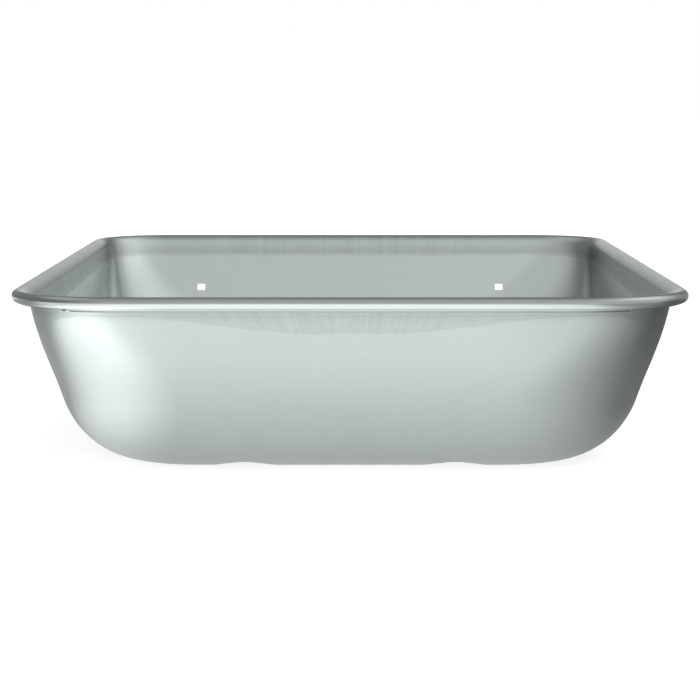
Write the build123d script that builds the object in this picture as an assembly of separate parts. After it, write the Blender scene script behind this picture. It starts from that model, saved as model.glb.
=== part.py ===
from build123d import *
import os
from math import cos, radians, sin, sqrt, tan

# A deep-drawn sheet-steel wheelbarrow tray with a wired rim, all in millimetres.
# +X is the tray's right, +Y its front (the wheel end), +Z up. The origin is on the
# underside, in the middle of the tray's length and width.

# ---- size over the rim
LENGTH = 845.0                # rear edge to front edge
REAR_WIDTH = 650.0            # across the handle end, the wider one
FRONT_WIDTH = 613.0           # across the wheel end
HEIGHT = 178.0                # underside to the top of the rim
REAR_RIM_RADIUS = 100.0       # plan radius of the rim's outermost line, rear corners
FRONT_RIM_RADIUS = 79.0       # the same at the front corners

# ---- the pressed sheet
SHEET = 1.0                   # sheet thickness
LOWER_CORNER_RADIUS = 138.0   # plan radius of the corners where the walls start to turn under
BOTTOM_RADIUS = 86.0          # outside radius between the walls and the bottom
BELLY_RADIUS = 460.0          # slow curve of the walls above that
SIDE_LEAN = (7.0, 15.7)       # degrees from vertical: upper wall, lower wall
REAR_LEAN = (24.0, 36.0)
FRONT_LEAN = (34.0, 40.0)

# ---- the wired rim
BEAD_RADIUS = 6.0             # outside radius of the sheet rolled round the wire
FLARE_RADIUS = 12.0           # radius of the wall's turn outwards into the bead
CURL_END = 5.0                # degrees that the curl runs on past its lowest point
WIRE_RADIUS = 4.0             # the rim wire lies in the curl's lower outer side
WIRE_CLEARANCE = 0.1          # between the wire and the curl where they are closest
LIP_BEND = 1.0                # inside radius of the turn from the curl down to the lip
LIP_DROP = 1.3                # straight free edge of the lip
END_LIP_REACH = 27.0          # degrees that the rear and front lips run on round the bends
SIDE_LIP_CLEAR = 8.0          # the side lips stop this far short of the bends

# ---- channels for the frame tubes, pressed up into the bottom
CHANNEL_OFFSET = 102.5        # channel centre line from the tray's middle
CHANNEL_WIDTH = 62.0
CHANNEL_DEPTH = 6.0

# ---- square holes for M8 carriage bolts
BOLT_SQUARE = 9.2             # across flats
FRONT_HOLE_OFFSET = 180.0     # front wall holes, from the tray's middle
FRONT_HOLE_DROP = 60.0        # below the rim's crest
FRAME_HOLE_REACH = 150.0      # channel holes, from the tray's middle along each channel
PUNCH_LENGTH = 30.0           # longer than the sheet is thick, at any slope

CREST_X_REAR = REAR_WIDTH / 2 - BEAD_RADIUS
CREST_X_FRONT = FRONT_WIDTH / 2 - BEAD_RADIUS
CREST_Y = LENGTH / 2 - BEAD_RADIUS
CREST_R_REAR = REAR_RIM_RADIUS - BEAD_RADIUS
CREST_R_FRONT = FRONT_RIM_RADIUS - BEAD_RADIUS


class WallProfile:
    """One wall's section, from the rim's crest down and inwards to the flat bottom.

    gauge is the distance from the tray's inner face: 0 for the inside, SHEET for the outside.
    """

    def __init__(self, lean, gauge):
        self.upper, self.lower = (radians(angle) for angle in lean)
        self.flare = FLARE_RADIUS - gauge
        self.belly = BELLY_RADIUS - SHEET + gauge
        self.bottom = BOTTOM_RADIUS - SHEET + gauge
        self.depth = HEIGHT - SHEET + gauge
        self.flare_end = FLARE_RADIUS - self.flare * sin(self.upper)
        self.knee = self.depth - self.bottom * (1 - sin(self.lower))
        self.belly_start = self.knee - self.belly * (sin(self.lower) - sin(self.upper))

    def inset(self, depth):
        """How far inside the crest line the wall is, at a depth below the crest."""
        if depth <= self.flare_end:
            rise = (FLARE_RADIUS - depth) / self.flare
            return self.flare * sqrt(max(1 - min(rise, 1) ** 2, 0))
        inset = self.flare * cos(self.upper)
        if depth <= self.belly_start:
            return inset + (depth - self.flare_end) * tan(self.upper)
        inset += (self.belly_start - self.flare_end) * tan(self.upper)
        if depth <= self.knee:
            turned = (depth - self.belly_start) / self.belly + sin(self.upper)
            return inset + self.belly * (cos(self.upper) - sqrt(1 - turned ** 2))
        inset += self.belly * (cos(self.upper) - cos(self.lower))
        turned = min((depth - self.knee) / self.bottom + sin(self.lower), 1)
        return inset + self.bottom * (cos(self.lower) - sqrt(1 - turned ** 2))


def smooth_step(value):
    value = min(max(value, 0), 1)
    return value * value * (3 - 2 * value)


def corner_radius(crest_radius, side, depth):
    """Corner bends open out from the rim's radius to LOWER_CORNER_RADIUS at the knee."""
    opened = LOWER_CORNER_RADIUS - (crest_radius - side.inset(side.knee))
    share = smooth_step((depth - side.flare_end) / (side.knee - side.flare_end))
    return crest_radius - side.inset(depth) + opened * share


def tangent_arc_ends(before, corner, after, radius):
    """Start, middle and end points of the arc that rounds a corner of the outline."""
    to_before = (before - corner).normalized()
    to_after = (after - corner).normalized()
    half_angle = radians(to_before.get_angle(to_after)) / 2
    reach = radius / tan(half_angle)
    bisector = (to_before + to_after).normalized()
    centre = corner + bisector * (radius / sin(half_angle))
    return corner + to_before * reach, centre - bisector * radius, corner + to_after * reach


def outline(half_rear, half_front, y_rear, y_front, radius_rear, radius_front, z):
    """A closed wire: four straight edges and four corner arcs, in one horizontal plane."""
    points = [Vector(half_rear, y_rear, z), Vector(half_front, y_front, z),
              Vector(-half_front, y_front, z), Vector(-half_rear, y_rear, z)]
    radii = [radius_rear, radius_front, radius_front, radius_rear]
    arcs = [tangent_arc_ends(points[i - 1], points[i], points[(i + 1) % 4], radii[i])
            for i in range(4)]
    edges = []
    for i in range(4):
        edges.append(Edge.make_line(arcs[i - 1][2], arcs[i][0]))
        edges.append(Edge.make_three_point_arc(*arcs[i]))
    return Wire(edges)


def crest_line(z, outwards=0.0):
    """The rim's path, along the top of the bead, or a line parallel to it."""
    return outline(CREST_X_REAR + outwards, CREST_X_FRONT + outwards,
                   -CREST_Y - outwards, CREST_Y + outwards,
                   CREST_R_REAR + outwards, CREST_R_FRONT + outwards, z)


def tray_body(gauge):
    """The solid space inside the tray's inner face, or inside its outer face."""
    side, rear, front = (WallProfile(lean, gauge) for lean in (SIDE_LEAN, REAR_LEAN, FRONT_LEAN))
    flare_turns = (0, 8, 18, 30, 44, 60, 72)
    depths = [gauge + side.flare * (1 - cos(radians(turn))) for turn in flare_turns]
    wall_steps = 5
    wall = side.knee - side.flare_end
    depths += [side.flare_end + wall * step / wall_steps for step in range(1, wall_steps + 1)]
    under_parts = (0.25, 0.48, 0.67, 0.81, 0.91, 0.97, 0.993, 1.0)
    depths += [side.knee + (side.depth - side.knee) * part for part in under_parts]
    sections = []
    for depth in depths:
        inset = side.inset(depth)
        sections.append(outline(CREST_X_REAR - inset, CREST_X_FRONT - inset,
                                -CREST_Y + rear.inset(depth), CREST_Y - front.inset(depth),
                                corner_radius(CREST_R_REAR, side, depth),
                                corner_radius(CREST_R_FRONT, side, depth), HEIGHT - depth))
    return Solid.make_loft(sections[::-1])


def channel_tools(gauge):
    """Round-topped channels along the bottom, as cylinders that run the tray's whole length."""
    crown = (CHANNEL_WIDTH ** 2 / 4 + CHANNEL_DEPTH ** 2) / (2 * CHANNEL_DEPTH)
    radius = crown + SHEET - gauge
    return [Plane((x, LENGTH / 2, CHANNEL_DEPTH - crown), z_dir=(0, -1, 0))
            * Cylinder(radius, LENGTH, align=(Align.CENTER, Align.CENTER, Align.MIN))
            for x in (-CHANNEL_OFFSET, CHANNEL_OFFSET)]


def curl_section():
    """The sheet from the crest round the wire to its end, seen along the rim."""
    centre = Plane((0, -BEAD_RADIUS, 0))
    start, end = -90 - CURL_END, 90
    outside = Edge.make_circle(BEAD_RADIUS, centre, start, end)
    inside = Edge.make_circle(BEAD_RADIUS - SHEET, centre, start, end)
    return Face(Wire([outside, inside, Edge.make_line(outside @ 0, inside @ 0),
                      Edge.make_line(outside @ 1, inside @ 1)]))


def lip_section():
    """The sheet where it turns down from the end of the curl to its free edge."""
    end = radians(CURL_END)
    root_x = -BEAD_RADIUS * sin(end)
    root_y = -BEAD_RADIUS - BEAD_RADIUS * cos(end)
    turn = Plane((root_x - LIP_BEND * sin(end), root_y - LIP_BEND * cos(end), 0))
    near = Edge.make_circle(LIP_BEND, turn, 90 - CURL_END, 180)
    far = Edge.make_circle(LIP_BEND + SHEET, turn, 90 - CURL_END, 180)
    drop = Vector(0, -LIP_DROP, 0)
    return Face(Wire([near, far, Edge.make_line(near @ 0, far @ 0),
                      Edge.make_line(near @ 1, near @ 1 + drop),
                      Edge.make_line(far @ 1, far @ 1 + drop),
                      Edge.make_line(near @ 1 + drop, far @ 1 + drop)]))


def across_rim(path, section):
    """Place a section across the start of a path along the crest line."""
    along = path % 0
    outwards = along.cross(Vector(0, 0, 1))
    plane = Plane(origin=path @ 0, x_dir=outwards, z_dir=along * -1)
    return plane.from_local_coords(section)


def rim_curl():
    path = crest_line(HEIGHT)
    return Solid.sweep(across_rim(path.edges()[0], curl_section()), path)


def rim_lips():
    """Four lips, one under each side of the rim. Most of each corner bend has none."""
    edges = crest_line(HEIGHT).edges()
    lips = []
    for i in (0, 4):
        before, after = edges[i - 1], edges[i + 1]
        before = before.trim(1 - before.radius * radians(END_LIP_REACH) / before.length, 1)
        after = after.trim(0, after.radius * radians(END_LIP_REACH) / after.length)
        path = Wire([before, edges[i], after])
        lips.append(Solid.sweep(across_rim(path, lip_section()), path))
    for i in (2, 6):
        clear = SIDE_LIP_CLEAR / edges[i].length
        path = edges[i].trim(clear, 1 - clear)
        lips.append(Solid.extrude(across_rim(path, lip_section()), (path % 0) * path.length))
    return lips


def bolt_punches():
    front = WallProfile(FRONT_LEAN, SHEET)
    lean = radians(FRONT_LEAN[0])
    y = CREST_Y - front.inset(FRONT_HOLE_DROP)
    places = [Plane((x, y, HEIGHT - FRONT_HOLE_DROP), x_dir=(1, 0, 0), z_dir=(0, cos(lean), -sin(lean)))
              for x in (-FRONT_HOLE_OFFSET, FRONT_HOLE_OFFSET)]
    places += [Plane((x, y, CHANNEL_DEPTH))
               for x in (-CHANNEL_OFFSET, CHANNEL_OFFSET)
               for y in (-FRAME_HOLE_REACH, FRAME_HOLE_REACH)]
    return [place * Box(BOLT_SQUARE, BOLT_SQUARE, PUNCH_LENGTH) for place in places]


def tray_pan():
    """The pressed pan with its rolled rim: one sheet, one solid."""
    crest_band = Solid.extrude(Face(crest_line(HEIGHT - SHEET)), Vector(0, 0, SHEET))
    outside = tray_body(SHEET) + crest_band - channel_tools(SHEET)
    inside = tray_body(0) - channel_tools(0)
    pan = outside - inside
    return pan + rim_curl() + rim_lips() - bolt_punches()


def rim_wire():
    """The wire inside the rim, one closed ring against the curl's lower outer side."""
    shift = (BEAD_RADIUS - SHEET - WIRE_RADIUS - WIRE_CLEARANCE) * cos(radians(45))
    path = crest_line(HEIGHT - BEAD_RADIUS - shift, shift)
    start = path.edges()[0]
    return Solid.sweep(Face(Wire.make_circle(WIRE_RADIUS, Plane(start @ 0, z_dir=start % 0))), path)


os.makedirs("parts", exist_ok=True)
for name, shape in (("tray_pan", tray_pan()), ("rim_wire", rim_wire())):
    export_step(shape, f"parts/{name}.step")
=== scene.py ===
from math import atan2, cos, pi, radians, sin, sqrt, tan

import bmesh
import bpy
import numpy as np
from mathutils import Matrix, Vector
from mathutils.kdtree import KDTree


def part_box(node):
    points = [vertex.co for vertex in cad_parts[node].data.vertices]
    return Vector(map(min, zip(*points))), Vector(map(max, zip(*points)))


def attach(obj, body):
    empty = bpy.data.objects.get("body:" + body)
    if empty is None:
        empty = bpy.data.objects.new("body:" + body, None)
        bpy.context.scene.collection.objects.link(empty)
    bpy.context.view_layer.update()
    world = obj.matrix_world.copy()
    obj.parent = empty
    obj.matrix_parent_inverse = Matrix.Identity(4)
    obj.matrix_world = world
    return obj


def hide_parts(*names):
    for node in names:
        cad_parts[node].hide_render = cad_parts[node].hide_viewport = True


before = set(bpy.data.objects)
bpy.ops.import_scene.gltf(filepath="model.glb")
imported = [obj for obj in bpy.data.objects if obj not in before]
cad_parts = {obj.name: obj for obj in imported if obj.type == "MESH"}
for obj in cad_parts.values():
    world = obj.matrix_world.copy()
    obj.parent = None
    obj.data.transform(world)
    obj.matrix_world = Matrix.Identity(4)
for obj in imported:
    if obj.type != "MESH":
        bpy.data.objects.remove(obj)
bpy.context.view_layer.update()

# A deep-drawn galvanised steel wheelbarrow tray. Metres, +X right, +Y front, +Z up, as in the CAD.

# ---- the tray's own sizes, as in the CAD
PAN_LOW, PAN_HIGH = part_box("tray_pan")
LENGTH = PAN_HIGH.y - PAN_LOW.y
HEIGHT = PAN_HIGH.z - PAN_LOW.z
REAR_WIDTH = 0.650
FRONT_WIDTH = 0.613
REAR_RIM_RADIUS = 0.100
FRONT_RIM_RADIUS = 0.079
SHEET = 0.001
LOWER_CORNER_RADIUS = 0.138
BOTTOM_RADIUS = 0.086
BELLY_RADIUS = 0.460
SIDE_LEAN = (7.0, 15.7)
REAR_LEAN = (24.0, 36.0)
FRONT_LEAN = (34.0, 40.0)
BEAD_RADIUS = 0.006
FLARE_RADIUS = 0.012
CURL_END = 5.0
LIP_BEND = 0.001
LIP_DROP = 0.0013
END_LIP_REACH = 27.0          # degrees that the rear and front lips run on round the bends
SIDE_LIP_CLEAR = 0.008        # the side lips stop this far short of the bends
CHANNEL_OFFSET = 0.1025
CHANNEL_WIDTH = 0.062
CHANNEL_DEPTH = 0.006
CHANNEL_BLEND = 0.0012
BEND_EASE = 0.024             # the walls ease into their corner bends over this length
BOLT_SQUARE = 0.0092
FRONT_HOLE_OFFSET = 0.180
FRONT_HOLE_DROP = 0.060
FRAME_HOLE_REACH = 0.150
PUNCH_LENGTH = 0.020

CREST_X_REAR = REAR_WIDTH / 2 - BEAD_RADIUS
CREST_X_FRONT = FRONT_WIDTH / 2 - BEAD_RADIUS
CREST_Y = LENGTH / 2 - BEAD_RADIUS
CREST_R_REAR = REAR_RIM_RADIUS - BEAD_RADIUS
CREST_R_FRONT = FRONT_RIM_RADIUS - BEAD_RADIUS

# ---- the steel's looks
STEEL_COLOUR = (0.580, 0.622, 0.620)
DRAW_FAN = 0.85               # how much the streaks draw together downwards at the rear's quarter points
DRAW_FAN_DEPTH = 0.060        # and how far down they do
CREST_SHADE_ON_SIDES = -0.5         # the crest's painted shade along the sides, where that at the ends is 1; below 0 it is a painted highlight
UNDER_LIP_SHADE = (0.0160, 0.0018, 0.75)   # the painted shade below the lip: depth, half width and strength
# Painted shade at the lip's root, along its free edge and in its notches
LIP_ROOT_SHADE = 0.45
LIP_EDGE_SHADE = 1.0
NOTCH_SHADE = 1.3
NOTCH_LIP = 0.25              # a notch has less than this share of the lip
SIDE_WALL_SHADE = 0.5           # painted shade on the upper parts of the side walls' inner faces
SIDE_WALL_SHADE_DEPTHS = (0.003, 0.013, 0.050, 0.120)   # where that painted shade starts, is full until, and has faded
BEAD_HIGHLIGHT_BAND = (0.32, 0.52)     # the lighter half of the bead, a painted highlight: starts and is full, as shares of its turn
PAST_BAND = 0.05              # how far past the drawn band's edge the bead and lip count as

# How far below the crest the drawn band ends: at the rear's corners, in its middle, at the front,
# and along each side as shares of its length from the rear.
BAND_REAR_CORNER = 0.020
BAND_REAR_MIDDLE = 0.036
BAND_FRONT = 0.022
BAND_SIDE = ((0, 0.042), (0.12, 0.037), (0.25, 0.032), (0.5, 0.0285), (1, 0.024))

# ---- the camera
LENS = 138.8
EYE_BACK = 2.4645             # behind the tray's rear edge
EYE_RISE = 0.2334             # above the middle of the bead
EYE_TILT = 6.377              # downwards, in degrees

# ---- the studio
LIGHT_COLOUR = (0.97, 1.0, 0.99, 1)
SURROUND = 0.60               # light from every direction
DARKEST = 0.05
FLOOR_REACH = 12.0
FLOOR_GAP = 0.0004
FLOOR_SHADE = 0.8
FLOOR_GLOW = 0.72
BACKDROP_REACH = 30

# Broad patches in the surroundings: azimuth in degrees from the handle end towards the tray's
# right, elevation, the angles from its middle where it starts to fade and has faded, and the
# light that it adds or takes away.
PATCHES = (
    (135, 4, 12, 45, -0.30),
    (-122, 44, 50, 89, -0.37),
    (110, 44, 5, 38, 0.26),
    (55, 88, 25, 60, 0.48),
    (180, 1, 2, 14, 0.70),
)

# The light that the steel sees below it: dim beside the tray, brighter beyond both ends,
# brightest off the rear left corner, and dark on the right.
CARD_LIGHT = 0.45
CARD_ENDS = ((-0.20, -0.50, 0.67), (0.40, 0.60, 0.45))   # starts, full, and how much it adds
CARD_SPOT = (-0.340, -0.375, 0.18, 0.29, 0.80)           # middle, radii, and how much it adds
CARD_DARK = (0.12, 0.47, 0.34)                           # starts, full, and what is left of it
CARD_REACH = 3.0

# ---- how finely the sheet is meshed
END_STEPS = 110               # along the straight run of each end
SIDE_STEPS = 32
FLOOR_INSET = 0.146           # rings run this far in over the flat bottom, past both channels
FLOOR_STEPS = 36
TURN_STEPS = 16
WALL_STEPS = 14
FLARE_STEPS = 7
BEAD_STEPS = 20
LIP_STEPS = 4
CREST_RING = FLOOR_STEPS + TURN_STEPS + WALL_STEPS + FLARE_STEPS
CURL_END_RING = CREST_RING + BEAD_STEPS
FLOOR_MIDDLE_RADIUS = 0.1     # the middle ring of the bottom has this share of the corner radii
EASE_SAMPLES = 9
SIDE_RUN = 0.665              # a side's straight run

# Along a lip from its end, in metres: how much of the lip there is, and how far its edge is
# bent outwards. Each lip ends in a small tab with a notch behind it.
LIP_END = ((-0.0010, 0.3, 0.0), (0.0004, 0.75, 0.0012), (0.0030, 0.75, 0.0016),
           (0.0043, 0.05, 0.0), (0.0056, 0.05, 0.0), (0.0076, 1.0, 0.0))


class WallProfile:
    """One wall's section, from the rim's crest down and inwards to the flat bottom."""

    def __init__(self, lean, gauge):
        self.upper, self.lower = (radians(angle) for angle in lean)
        self.flare = FLARE_RADIUS - gauge
        self.belly = BELLY_RADIUS - SHEET + gauge
        self.bottom = BOTTOM_RADIUS - SHEET + gauge
        self.depth = HEIGHT - SHEET + gauge
        self.flare_end = FLARE_RADIUS - self.flare * sin(self.upper)
        self.knee = self.depth - self.bottom * (1 - sin(self.lower))
        self.belly_start = self.knee - self.belly * (sin(self.lower) - sin(self.upper))

    def inset(self, depth):
        if depth <= self.flare_end:
            rise = (FLARE_RADIUS - depth) / self.flare
            return self.flare * sqrt(max(1 - min(rise, 1) ** 2, 0))
        inset = self.flare * cos(self.upper)
        if depth <= self.belly_start:
            return inset + (depth - self.flare_end) * tan(self.upper)
        inset += (self.belly_start - self.flare_end) * tan(self.upper)
        if depth <= self.knee:
            turned = (depth - self.belly_start) / self.belly + sin(self.upper)
            return inset + self.belly * (cos(self.upper) - sqrt(1 - turned ** 2))
        inset += self.belly * (cos(self.upper) - cos(self.lower))
        turned = min((depth - self.knee) / self.bottom + sin(self.lower), 1)
        return inset + self.bottom * (cos(self.lower) - sqrt(1 - turned ** 2))


def smooth_ramp(value, start, end):
    """0 before start and 1 past end, easing in and out between them. The end may be the lower."""
    share = np.clip((value - start) / (end - start), 0, 1)
    return share * share * (3 - 2 * share)


def corner_radius(crest_radius, side, depth):
    opened = LOWER_CORNER_RADIUS - (crest_radius - side.inset(side.knee))
    return crest_radius - side.inset(depth) + opened * smooth_ramp(depth, side.flare_end, side.knee)


def bend_places():
    """Places round a corner bend from 0 to 1, closest together where the lips end."""
    half = np.concatenate([np.linspace(0, 0.22, 8), np.linspace(0.22, 0.32, 16)[1:], [0.38, 0.44]])
    return np.concatenate([half, [0.5], 1 - half[::-1]])[:-1]


# Where the points of an outline lie on its ends, its sides and its bends.
ACROSS = np.linspace(-1, 1, END_STEPS + 1)[:-1]
ALONG = np.linspace(0, 1, SIDE_STEPS + 1)[:-1]
BEND_PLACES = bend_places()


def outline(half_rear, half_front, y_rear, y_front, radius_rear, radius_front):
    """Points round a closed outline: four straight runs and four bends, from the rear left.

    The sheet eases into each bend, so the outline is averaged over a short stretch of itself.
    """
    corners = [np.array(p) for p in ((half_rear, y_rear), (half_front, y_front),
                                     (-half_front, y_front), (-half_rear, y_rear))]
    radii = (radius_rear, radius_front, radius_front, radius_rear)
    starts, centres, firsts, turns, ends = [], [], [], [], []
    for i in range(4):
        before = corners[i - 1] - corners[i]
        after = corners[(i + 1) % 4] - corners[i]
        before, after = before / np.linalg.norm(before), after / np.linalg.norm(after)
        half = np.arccos(np.clip(before @ after, -1, 1)) / 2
        reach = radii[i] / tan(half)
        middle = (before + after) / np.linalg.norm(before + after)
        centre = corners[i] + middle * radii[i] / sin(half)
        start, end = corners[i] + before * reach, corners[i] + after * reach
        starts.append(start)
        ends.append(end)
        centres.append(centre)
        firsts.append(atan2(*(start - centre)[::-1]))
        turns.append(pi - 2 * half)
    runs = [np.linalg.norm(starts[i] - ends[i - 1]) for i in range(4)]
    bends = [radii[i] * turns[i] for i in range(4)]
    lengths = [length for pair in zip(runs, bends) for length in pair]
    marks = np.concatenate([[0], np.cumsum(lengths)])
    end_places = np.linspace(0, 1, END_STEPS + 1)[:-1]
    steps = (end_places, BEND_PLACES, ALONG, BEND_PLACES) * 2
    along = np.concatenate([marks[i] + lengths[i] * steps[i] for i in range(8)])

    def points_at(along):
        along = along % marks[-1]
        points = np.empty((len(along), 2))
        piece = np.searchsorted(marks, along, side="right") - 1
        for i in range(4):
            here = piece == 2 * i
            share = ((along[here] - marks[2 * i]) / runs[i])[:, None]
            points[here] = ends[i - 1] * (1 - share) + starts[i] * share
            here = piece == 2 * i + 1
            angle = firsts[i] + (along[here] - marks[2 * i + 1]) / radii[i]
            points[here] = centres[i] + radii[i] * np.stack([np.cos(angle), np.sin(angle)], 1)
        return points

    ease = BEND_EASE * min(1, radius_front / CREST_R_FRONT)
    offsets = np.linspace(-1, 1, EASE_SAMPLES)[1:-1]
    weights = 1 - np.abs(offsets)
    return sum(weight * points_at(along + ease * offset)
               for offset, weight in zip(offsets, weights)) / weights.sum()


def ring(x_rear, x_front, y_rear, y_front, r_rear, r_front, z):
    flat = outline(x_rear, x_front, y_rear, y_front, r_rear, r_front)
    return np.column_stack([flat, np.full(len(flat), z)])


def wall_ring(walls, depth):
    """The outline of one face of the sheet at a depth below the crest."""
    side, rear, front = walls
    inset = side.inset(depth)
    return ring(CREST_X_REAR - inset, CREST_X_FRONT - inset,
                -CREST_Y + rear.inset(depth), CREST_Y - front.inset(depth),
                corner_radius(CREST_R_REAR, side, depth),
                corner_radius(CREST_R_FRONT, side, depth), HEIGHT - depth)


def crest_ring(outwards, rise):
    """A line parallel to the crest, for the bead and the lip."""
    return ring(CREST_X_REAR + outwards, CREST_X_FRONT + outwards,
                -CREST_Y - outwards, CREST_Y + outwards,
                CREST_R_REAR + outwards, CREST_R_FRONT + outwards, HEIGHT + rise)


def with_channels(points, gauge):
    """Press the two round-topped channels up into a ring of points, with blended edges."""
    crown = (CHANNEL_WIDTH ** 2 / 4 + CHANNEL_DEPTH ** 2) / (2 * CHANNEL_DEPTH)
    radius = crown + SHEET - gauge
    across = np.abs(points[:, 0]) - CHANNEL_OFFSET
    arch = np.sqrt(np.maximum(radius ** 2 - across ** 2, 0)) + CHANNEL_DEPTH - crown
    apart = np.abs(arch - points[:, 2])
    blend = np.maximum(CHANNEL_BLEND - apart, 0) ** 2 / (4 * CHANNEL_BLEND)
    points[:, 2] = np.maximum(arch, points[:, 2]) + blend
    return points


def round_the_tray(runs, bends):
    """One value for each point of an outline, from those of its four runs and four bends.

    The runs are the rear, the right side, the front and the left side, and each is followed by
    its bend. A run or a bend is one number, or an array with one for each of its points.
    """
    places = (ACROSS, BEND_PLACES, ALONG, BEND_PLACES) * 2
    parts = [part for pair in zip(runs, bends) for part in pair]
    return np.concatenate([np.broadcast_to(part, place.shape) for part, place in zip(parts, places)])


def lip_shape():
    """For each point of the outline, how much lip there is and how far it is bent outwards."""
    sides = SIDE_RUN * np.minimum(ALONG, 1 - ALONG) - SIDE_LIP_CLEAR
    leaving = np.radians(END_LIP_REACH - BEND_PLACES * 90)
    coming = np.radians(END_LIP_REACH - (1 - BEND_PLACES) * 90)
    whole = 1.0
    along = round_the_tray((whole, sides, whole, sides),
                           (CREST_R_REAR * leaving, CREST_R_FRONT * coming,
                            CREST_R_FRONT * leaving, CREST_R_REAR * coming))
    places, amounts, turns = zip(*LIP_END)
    return np.interp(along, places, amounts)[:, None], np.interp(along, places, turns)[:, None]


def band_depth():
    """How far below the crest the drawn band ends, for each point of the outline."""
    sag = BAND_REAR_MIDDLE - BAND_REAR_CORNER
    rear = BAND_REAR_CORNER + sag * smooth_ramp(np.abs(ACROSS), 0.96, 0.18)
    right = np.interp(ALONG, *zip(*BAND_SIDE))
    side_rear, side_front = BAND_SIDE[0][1], BAND_SIDE[-1][1]
    rear_bend = BAND_REAR_CORNER + (side_rear - BAND_REAR_CORNER) * smooth_ramp(BEND_PLACES, 0.2, 0.75)
    front_bend = side_front + (BAND_FRONT - side_front) * BEND_PLACES
    return round_the_tray((rear, right, BAND_FRONT, right[::-1]),
                          (rear_bend, front_bend, front_bend[::-1], rear_bend[::-1]))


def face_rings(gauge):
    """One face of the sheet, ring by ring, from the middle of the bottom out to the lip's edge."""
    walls = [WallProfile(lean, gauge) for lean in (SIDE_LEAN, REAR_LEAN, FRONT_LEAN)]
    side, rear, front = walls
    rings = []
    flat = side.depth
    for step in range(FLOOR_STEPS):
        inset = FLOOR_INSET * (1 - step / FLOOR_STEPS)
        edge = side.inset(flat) + inset
        shrink = 1 - (1 - FLOOR_MIDDLE_RADIUS) * inset / FLOOR_INSET
        rings.append(ring(CREST_X_REAR - edge, CREST_X_FRONT - edge,
                          -CREST_Y + rear.inset(flat) + inset, CREST_Y - front.inset(flat) - inset,
                          corner_radius(CREST_R_REAR, side, flat) * shrink,
                          corner_radius(CREST_R_FRONT, side, flat) * shrink, HEIGHT - flat))
    turned = pi / 2 - side.lower
    for step in range(TURN_STEPS):
        depth = flat - side.bottom * (1 - cos(turned * step / TURN_STEPS))
        rings.append(wall_ring(walls, depth))
    for step in range(WALL_STEPS):
        share = step / WALL_STEPS
        rings.append(wall_ring(walls, side.knee + (side.flare_end - side.knee) * share))
    rings = [with_channels(points, gauge) for points in rings]
    for step in range(FLARE_STEPS):
        turn = (pi / 2 - side.upper) * (1 - step / FLARE_STEPS)
        rings.append(wall_ring(walls, gauge + side.flare * (1 - cos(turn))))
    radius = BEAD_RADIUS - gauge
    for step in range(BEAD_STEPS + 1):
        turn = radians(180 + CURL_END) * step / BEAD_STEPS
        rings.append(crest_ring(radius * sin(turn), radius * cos(turn) - BEAD_RADIUS))
    return rings + lip_rings(gauge, rings[-1])


def lip_rings(gauge, root):
    """The sheet from the end of the curl down to the lip's free edge."""
    end = radians(CURL_END)
    bend = LIP_BEND + gauge
    amount, bent = lip_shape()
    outwards = (crest_ring(0.001, 0) - crest_ring(0, 0)) * 1000
    rings = []
    for step in range(1, LIP_STEPS + 2):
        turn = end + (pi / 2 - end) * min(step / LIP_STEPS, 1)
        out = -(BEAD_RADIUS + LIP_BEND) * sin(end) - bend * sin(turn)
        rise = -BEAD_RADIUS - (BEAD_RADIUS + LIP_BEND) * cos(end) + bend * cos(turn)
        if step > LIP_STEPS:
            rise -= LIP_DROP
        lip = crest_ring(out, rise) + outwards * bent * step / (LIP_STEPS + 1)
        rings.append(root * (1 - amount) + lip * amount)
    return rings


def draw_places(rings):
    """Where each point is along the draw: x and y go round the tray and z goes down the sheet."""
    steps = np.linalg.norm(np.diff(rings, axis=0), axis=2)
    path = np.concatenate([np.zeros((1, rings.shape[1])), np.cumsum(steps, axis=0)])
    down = path[CREST_RING] - path

    crest = crest_ring(0, 0)
    steps = np.linalg.norm(np.roll(crest, -1, axis=0) - crest, axis=1)
    around = np.concatenate([[0], np.cumsum(steps)[:-1]])
    fan = round_the_tray((ACROSS * (1 - ACROSS ** 4), 0, 0, 0), (0, 0, 0, 0))
    fanned = around + DRAW_FAN * fan * np.clip(down, 0, DRAW_FAN_DEPTH)
    angle = 2 * pi * fanned / steps.sum()
    radius = steps.sum() / (2 * pi)
    return np.stack([radius * np.cos(angle), radius * np.sin(angle), down], axis=2)


def streak_strength():
    """The streaks are strongest in the middle of each end and faint on the bends."""
    middle = 1 - ACROSS ** 2
    return round_the_tray((0.15 + 0.85 * middle, 0.5, 0.3 + 0.7 * middle, 0.5), (0.15,) * 4)


def crest_painted_shade(depth):
    """The top of the rim is darker at the ends and lighter along the sides: painted shade at the ends
    and a painted highlight along the sides.
    """
    leaving = 1 - (1 - CREST_SHADE_ON_SIDES) * np.sin(pi / 2 * BEND_PLACES)
    around = round_the_tray((1, CREST_SHADE_ON_SIDES) * 2, (leaving, leaving[::-1]) * 2)
    return np.clip(1 - depth / BEAD_RADIUS, 0, 1) * around


def bead_painted_highlight(count):
    """A painted highlight: the outer and lower half of the bead is lighter, less so round the bends."""
    turned = np.clip((np.arange(count) - CREST_RING) / BEAD_STEPS, 0, 1)
    around = round_the_tray((1,) * 4, (1 - 1.3 * np.sin(pi * BEND_PLACES),) * 4)
    return smooth_ramp(turned, *BEAD_HIGHLIGHT_BAND)[:, None] * around


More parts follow.
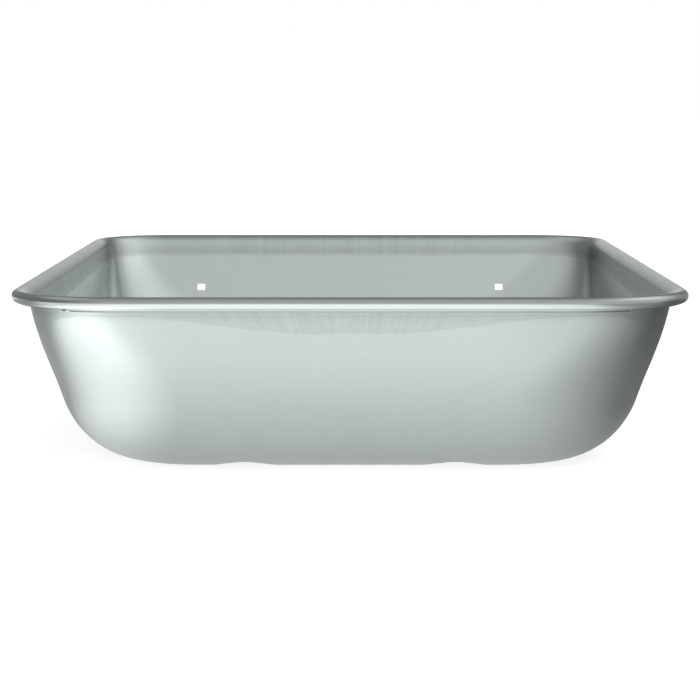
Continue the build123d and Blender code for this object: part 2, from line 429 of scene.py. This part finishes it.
def painted_shades(depth, side_wall_shade):
    """Painted shade under the lip, at its root and free edge and in its notches, and on the upper parts
    of the side walls.
    """
    line_depth, line_width, line_strength = UNDER_LIP_SHADE
    painted_shade = line_strength * np.exp(-((depth - line_depth) / line_width) ** 2)
    rising = np.clip(3 * BEND_PLACES - 2, 0, 1)
    falling = np.clip(1 - 3 * BEND_PLACES, 0, 1)
    on_sides = round_the_tray((0, 1) * 2, (rising, falling) * 2)
    starts, full, full_until, faded = SIDE_WALL_SHADE_DEPTHS
    upper = np.clip((depth - starts) / (full - starts), 0, 1)
    upper *= np.clip((faded - depth) / (faded - full_until), 0, 1)
    painted_shade += side_wall_shade * on_sides * upper
    # None on the bead and lip, then painted shade at the lip's root, along its free edge and in its
    # notches.
    painted_shade[CREST_RING:] = 0
    painted_shade[CURL_END_RING] = LIP_ROOT_SHADE
    painted_shade[CURL_END_RING + LIP_STEPS:] = LIP_EDGE_SHADE
    notch = lip_shape()[0][:, 0] < NOTCH_LIP
    painted_shade[CURL_END_RING - 1:, notch] = NOTCH_SHADE
    return painted_shade


def surface_values(rings, side_wall_shade):
    """What the steel's material reads, for each point of each ring of one face of the sheet."""
    rings = np.array(rings)
    depth = HEIGHT - rings[:, :, 2]
    below = depth - band_depth()
    below[CREST_RING + 2:] = PAST_BAND
    return {"draw": draw_places(rings), "below_band": below, "crest": crest_painted_shade(depth),
            "streaked": np.broadcast_to(streak_strength(), depth.shape),
            "rim": bead_painted_highlight(len(rings)), "painted_shade": painted_shades(depth, side_wall_shade)}


def mesh_object(name, vertices, faces):
    mesh = bpy.data.meshes.new(name)
    mesh.from_pydata(vertices, [], faces)
    mesh.update()
    piece = bpy.data.objects.new(name, mesh)
    bpy.context.scene.collection.objects.link(piece)
    return piece


def bolt_punches():
    """Square cutters through the front wall and through both channels, as one object."""
    lean = radians(FRONT_LEAN[0])
    y = CREST_Y - WallProfile(FRONT_LEAN, SHEET).inset(FRONT_HOLE_DROP)
    tilt = Matrix.Rotation(-pi / 2 - lean, 4, "X")
    places = [Matrix.Translation((x, y, HEIGHT - FRONT_HOLE_DROP)) @ tilt
              for x in (-FRONT_HOLE_OFFSET, FRONT_HOLE_OFFSET)]
    places += [Matrix.Translation((x, y, CHANNEL_DEPTH))
               for x in (-CHANNEL_OFFSET, CHANNEL_OFFSET)
               for y in (-FRAME_HOLE_REACH, FRAME_HOLE_REACH)]
    size = Matrix.Diagonal((BOLT_SQUARE, BOLT_SQUARE, PUNCH_LENGTH, 1))
    maker = bmesh.new()
    for place in places:
        bmesh.ops.create_cube(maker, size=1, matrix=place @ size)
    punches = mesh_object("punches", [], [])
    maker.to_mesh(punches.data)
    maker.free()
    return punches


def punch(piece, punches):
    cut = piece.modifiers.new("punch", "BOOLEAN")
    cut.object, cut.operation, cut.solver = punches, "DIFFERENCE", "EXACT"
    cut_mesh = bpy.data.meshes.new_from_object(piece.evaluated_get(
        bpy.context.evaluated_depsgraph_get()))
    piece.modifiers.clear()
    piece.data = cut_mesh
    bpy.data.objects.remove(punches)


def pan_mesh():
    """The whole sheet as one closed mesh: its inner face, its outer face and the edge between."""
    inner, outer = face_rings(0.0), face_rings(SHEET)
    loop = inner + outer[::-1]
    count = len(loop[0])
    here = np.arange(count)
    there = np.roll(here, -1)
    faces = [list(range(count)), list(range((len(loop) - 1) * count, len(loop) * count))[::-1]]
    for row in range(len(loop) - 1):
        low, high = row * count, (row + 1) * count
        faces += np.column_stack([low + here, high + here, high + there, low + there]).tolist()
    points = np.concatenate(loop)
    piece = mesh_object("pan", points.tolist(), faces)
    punch(piece, bolt_punches())

    # The punched mesh takes its values from the nearest points of the whole one.
    tree = KDTree(len(points))
    for index, point in enumerate(points):
        tree.insert(point, index)
    tree.balance()
    nearest = [tree.find(vertex.co)[1] for vertex in piece.data.vertices]
    inner_values = surface_values(inner, SIDE_WALL_SHADE)
    outer_values = surface_values(outer, 0.0)
    for name in inner_values:
        value = np.concatenate([inner_values[name], outer_values[name][::-1]])
        attribute(piece, name, value.reshape(len(points), -1)[nearest])

    for polygon in piece.data.polygons:
        polygon.use_smooth = True
    piece.data.set_sharp_from_angle(angle=radians(40))
    return piece


def attribute(piece, name, values):
    """A number or a vector for each vertex, one a row, which the materials read."""
    values = np.asarray(values, np.float32)
    kind, field = ("FLOAT_VECTOR", "vector") if values.shape[1] == 3 else ("FLOAT", "value")
    layer = piece.data.attributes.new(name, kind, "POINT")
    layer.data.foreach_set(field, values.ravel())


# ---- shader nodes

def connect(tree, value, socket):
    if isinstance(value, bpy.types.NodeSocket):
        tree.links.new(value, socket)
    else:
        socket.default_value = value


def add_node(tree, kind, inputs=None, **settings):
    node = tree.nodes.new("ShaderNode" + kind)
    for key, value in settings.items():
        setattr(node, key, value)
    for key, value in (inputs or {}).items():
        connect(tree, value, node.inputs[key])
    return node


def calculate(tree, operation, *values):
    return add_node(tree, "Math", dict(enumerate(values)), operation=operation).outputs[0]


def ramp(tree, value, low, high, to_low=0.0, to_high=1.0):
    return add_node(tree, "MapRange", {"Value": value, "From Min": low, "From Max": high,
                                       "To Min": to_low, "To Max": to_high},
                    interpolation_type="SMOOTHSTEP").outputs[0]


def noise(tree, vector, stretch, scale, detail):
    """Noise from -0.5 to 0.5, near 0 on average, drawn out along the axes that stretch makes small."""
    stretched = add_node(tree, "VectorMath", {0: vector, 1: stretch}, operation="MULTIPLY").outputs[0]
    texture = add_node(tree, "TexNoise", {"Vector": stretched, "Scale": scale, "Detail": detail})
    return calculate(tree, "SUBTRACT", texture.outputs["Fac"], 0.5)


def add_up(tree, start, *terms):
    """start plus each value times its weight."""
    total = start
    for value, weight in terms:
        total = calculate(tree, "MULTIPLY_ADD", value, weight, total)
    return total


def new_material(name):
    material = bpy.data.materials.new(name)
    material.use_nodes = True
    return material, material.node_tree, material.node_tree.nodes["Principled BSDF"]


def galvanised_sheet():
    """Zinc-coated sheet. The upper band, which slid through the press, is duller and streaked
    along the draw; below it the sheet is smooth, with faint mottling and stretch lines."""
    material, tree, shader = new_material("galvanised_sheet")
    draw = add_node(tree, "Attribute", attribute_name="draw").outputs["Vector"]
    below = add_node(tree, "Attribute", attribute_name="below_band").outputs["Fac"]
    # The rim's top: painted shade at the ends and a painted highlight along the sides.
    crest = add_node(tree, "Attribute", attribute_name="crest").outputs["Fac"]
    # The bead's outer and lower half: a painted highlight.
    rim = add_node(tree, "Attribute", attribute_name="rim").outputs["Fac"]
    # Painted shade under and at the lip, in its notches and on the side walls' upper inner faces.
    painted_shade = add_node(tree, "Attribute", attribute_name="painted_shade").outputs["Fac"]

    wander = noise(tree, draw, (1, 1, 1), 22, 2)
    edge = add_up(tree, below, (wander, 0.004))
    drawn = ramp(tree, edge, -0.0004, 0.0004, 1, 0)
    streaked = add_node(tree, "Attribute", attribute_name="streaked").outputs["Fac"]
    streaked = calculate(tree, "MULTIPLY", streaked, drawn)
    fine = calculate(tree, "MULTIPLY", noise(tree, draw, (1, 1, 0.015), 230, 2), streaked)
    broad = calculate(tree, "MULTIPLY", noise(tree, draw, (1, 1, 0.04), 80, 2), streaked)
    mottle = noise(tree, draw, (1, 1, 1), 20, 3)
    flow = noise(tree, draw, (0.12, 0.12, 1), 260, 3)
    grain = noise(tree, draw, (1, 1, 1), 450, 2)

    # Besides the steel's own streaks and mottling, the tone carries painted light: a painted highlight
    # on the bead and along the rim's sides, and painted shade on the rim's top at the ends, round the
    # lip and on the side walls' upper inner faces.
    tone = add_up(tree, 1.0, (drawn, -0.08), (fine, 0.20), (broad, 0.16), (mottle, 0.05),
                  (flow, 0.04), (rim, 0.34), (crest, -0.62), (painted_shade, -0.6))
    colour = add_node(tree, "VectorMath", {0: STEEL_COLOUR, "Scale": tone}, operation="SCALE")
    rough = add_up(tree, 0.20, (drawn, 0.08), (fine, 0.12), (mottle, 0.06), (grain, 0.05))
    height = add_up(tree, 0.0, (fine, 0.04), (broad, 0.5), (flow, 0.3), (grain, 0.02))
    bump = add_node(tree, "Bump", {"Height": height, "Strength": 1.0, "Distance": 0.00003})
    shader.inputs["Metallic"].default_value = 1
    connect(tree, colour.outputs[0], shader.inputs["Base Color"])
    connect(tree, rough, shader.inputs["Roughness"])
    connect(tree, bump.outputs[0], shader.inputs["Normal"])
    return material


def galvanised_wire():
    """Drawn wire under the curl: darker zinc with fine scratches along it."""
    material, tree, shader = new_material("galvanised_wire")
    place = add_node(tree, "TexCoord").outputs["Object"]
    fine = noise(tree, place, (1, 1, 6), 180, 3)
    mottle = noise(tree, place, (1, 1, 1), 60, 3)
    tone = add_up(tree, 0.82, (fine, 0.35), (mottle, 0.30))
    colour = add_node(tree, "VectorMath", {0: STEEL_COLOUR, "Scale": tone}, operation="SCALE")
    rough = add_up(tree, 0.36, (fine, 0.20), (mottle, 0.15))
    bump = add_node(tree, "Bump", {"Height": fine, "Strength": 1.0, "Distance": 0.00003})
    shader.inputs["Metallic"].default_value = 1
    connect(tree, colour.outputs[0], shader.inputs["Base Color"])
    connect(tree, rough, shader.inputs["Roughness"])
    connect(tree, bump.outputs[0], shader.inputs["Normal"])
    return material


# ---- studio

def camera():
    data = bpy.data.cameras.new("camera")
    data.sensor_width = 36.0
    data.lens = LENS
    data.clip_end = 100
    eye = bpy.data.objects.new("camera", data)
    eye.location = (0, PAN_LOW.y - EYE_BACK, PAN_HIGH.z - BEAD_RADIUS + EYE_RISE)
    eye.rotation_euler = (radians(90 - EYE_TILT), 0, 0)
    bpy.context.scene.collection.objects.link(eye)
    bpy.context.scene.camera = eye


def direction(azimuth, elevation):
    turn, rise = radians(azimuth), radians(elevation)
    return (sin(turn) * cos(rise), -cos(turn) * cos(rise), sin(rise))


def surroundings():
    """Soft light all round, with the broad bright and dark patches that the steel reflects."""
    world = bpy.data.worlds.new("studio")
    bpy.context.scene.world = world
    world.use_nodes = True
    tree = world.node_tree
    towards = add_node(tree, "TexCoord").outputs["Generated"]
    light = SURROUND
    for azimuth, elevation, full, faded, gain in PATCHES:
        near = add_node(tree, "VectorMath", {0: towards, 1: direction(azimuth, elevation)},
                        operation="DOT_PRODUCT").outputs["Value"]
        patch = ramp(tree, near, cos(radians(faded)), cos(radians(full)), 0.0, gain)
        light = calculate(tree, "ADD", light, patch)
    background = tree.nodes["Background"]
    background.inputs["Color"].default_value = LIGHT_COLOUR
    connect(tree, calculate(tree, "MAXIMUM", light, DARKEST), background.inputs["Strength"])


def hide_from(piece, *rays):
    for ray in rays:
        setattr(piece, "visible_" + ray, False)


def pale_material(name, shade, glow):
    material, tree, shader = new_material(name)
    shader.inputs["Base Color"].default_value = (shade, shade, shade, 1)
    shader.inputs["Roughness"].default_value = 0.9
    shader.inputs["Specular IOR Level"].default_value = 0
    shader.inputs["Emission Color"].default_value = (1, 1, 1, 1)
    shader.inputs["Emission Strength"].default_value = glow
    return material


def flat_square(name, reach, height):
    square = mesh_object(name, [(-reach, -reach, 0), (reach, -reach, 0), (reach, reach, 0),
                                (-reach, reach, 0)], [(0, 1, 2, 3)])
    square.location.z = height
    return square


def light_card():
    """A glowing card just under the floor, seen only in the steel's reflections."""
    material, tree, shader = new_material("light_card")
    place = add_node(tree, "SeparateXYZ", {0: add_node(tree, "TexCoord").outputs["Object"]})
    x, y = place.outputs[0], place.outputs[1]
    light = CARD_LIGHT
    for start, full, gain in CARD_ENDS:
        side = -1 if full < 0 else 1
        beyond = calculate(tree, "MULTIPLY", y, side)
        end_light = ramp(tree, beyond, side * start, side * full, 0, gain)
        light = calculate(tree, "ADD", light, end_light)
    spot_x, spot_y, wide, long, gain = CARD_SPOT
    across = calculate(tree, "DIVIDE", calculate(tree, "SUBTRACT", x, spot_x), wide)
    along = calculate(tree, "DIVIDE", calculate(tree, "SUBTRACT", y, spot_y), long)
    squares = [calculate(tree, "MULTIPLY", value, value) for value in (across, along)]
    away = calculate(tree, "SQRT", calculate(tree, "ADD", *squares))
    light = calculate(tree, "ADD", light, ramp(tree, away, 0.2, 1, gain, 0))
    start, full, left = CARD_DARK
    light = calculate(tree, "MULTIPLY", light, ramp(tree, x, start, full, 1, left))
    shader.inputs["Base Color"].default_value = (0, 0, 0, 1)
    shader.inputs["Specular IOR Level"].default_value = 0
    shader.inputs["Emission Color"].default_value = LIGHT_COLOUR
    connect(tree, light, shader.inputs["Emission Strength"])
    card = flat_square("light_card", CARD_REACH, -2 * FLOOR_GAP)
    card.data.materials.append(material)
    hide_from(card, "camera", "diffuse", "transmission", "shadow")


def studio():
    """A pale floor that glows a little and a white backdrop, neither of them in reflections."""
    surroundings()
    bpy.context.scene.view_settings.view_transform = "Standard"
    light_card()
    floor = flat_square("floor", FLOOR_REACH, -FLOOR_GAP)
    floor.data.materials.append(pale_material("floor", FLOOR_SHADE, FLOOR_GLOW))
    hide_from(floor, "glossy")
    backdrop = mesh_object("backdrop", [], [])
    maker = bmesh.new()
    bmesh.ops.create_icosphere(maker, subdivisions=3, radius=BACKDROP_REACH)
    maker.to_mesh(backdrop.data)
    maker.free()
    backdrop.data.materials.append(pale_material("backdrop", 0, 1.0))
    hide_from(backdrop, "glossy", "diffuse", "transmission", "shadow")


camera()
studio()

pan = pan_mesh()
pan.data.materials.append(galvanised_sheet())
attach(pan, "root")
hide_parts("tray_pan")

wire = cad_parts["rim_wire"]
wire.data.materials.clear()
wire.data.materials.append(galvanised_wire())
